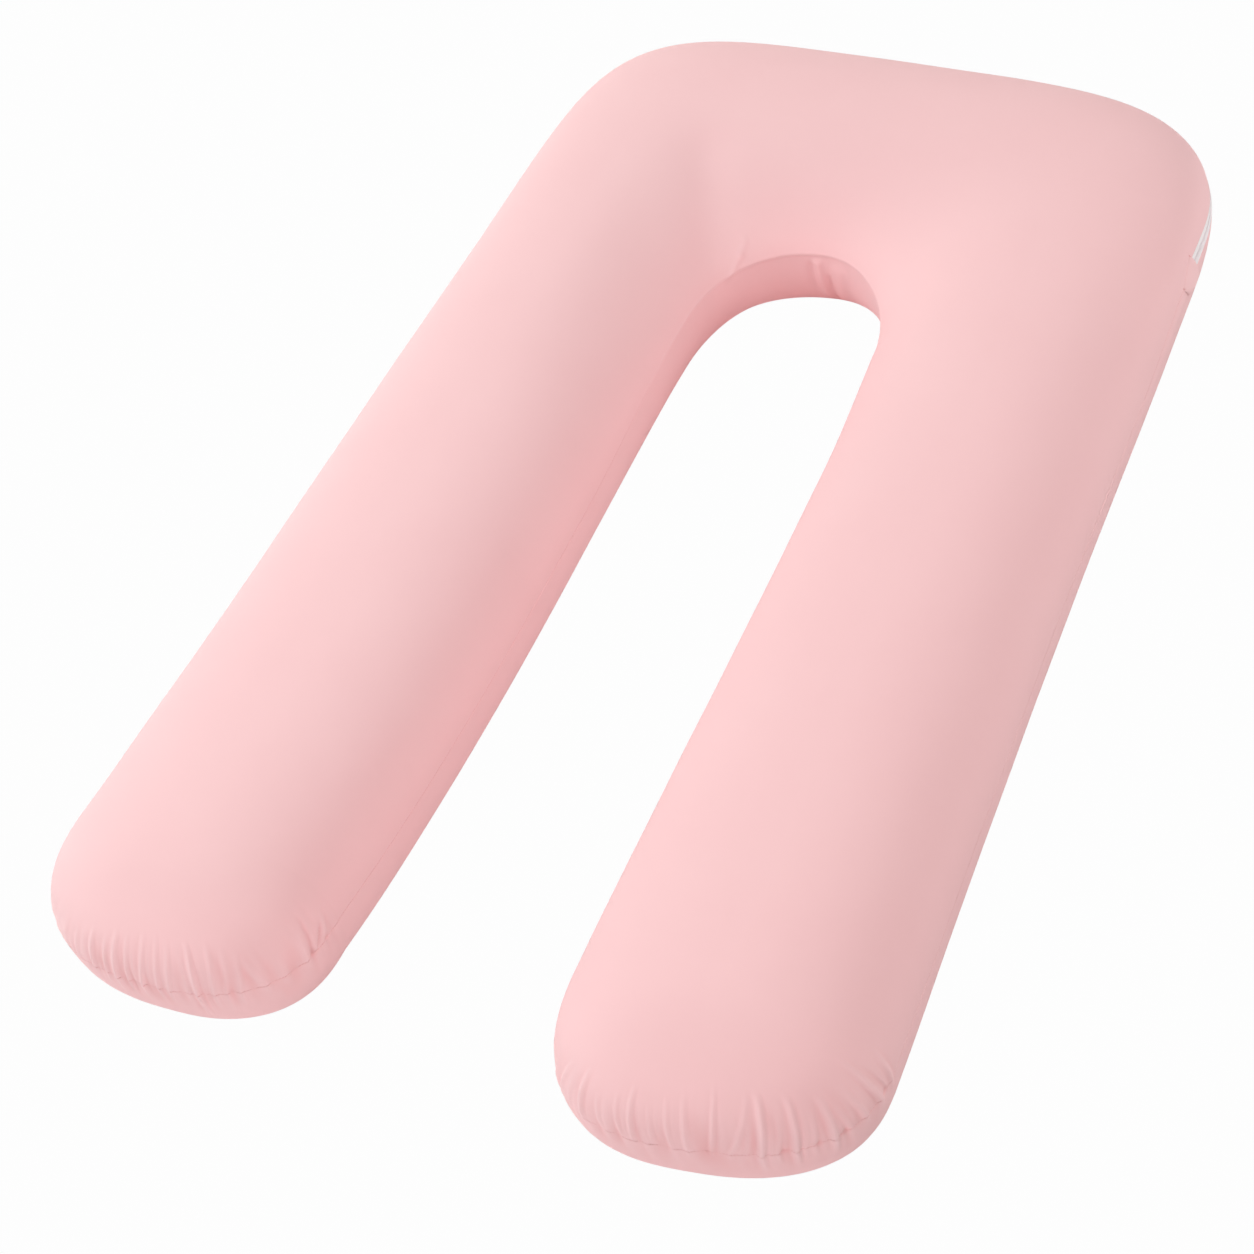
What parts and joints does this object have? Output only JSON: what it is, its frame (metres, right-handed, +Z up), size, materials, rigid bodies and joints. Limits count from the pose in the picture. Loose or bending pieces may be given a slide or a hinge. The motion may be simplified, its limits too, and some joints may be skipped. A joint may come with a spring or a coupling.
{
  "type": "u-shaped pregnancy pillow",
  "caption": "U-shaped full-body pregnancy pillow lying flat, stuffed round legs joined by a bar, jersey cover with gathered leg ends and a corner zip.",
  "frame": {"origin": "middle of the pillow's box, on the surface it lies on", "axes": "+X to the pillow's right as seen from above with the bar at the top, +Y from the leg ends towards the bar, +Z up"},
  "size_m": [0.851, 1.4096, 0.192],
  "materials": {
    "cover_jersey": "matte fine jersey",
    "zip_tape_weave": "matte woven tape",
    "zip_coil_nylon": "satin",
    "tab_jersey": "matte fine jersey"
  },
  "bodies": {
    "root": {"pillow_cover": "cover_jersey", "zip_tape": "zip_tape_weave", "zip_coil": "zip_coil_nylon", "zip_tab": "tab_jersey"}
  },
  "joints": []
}
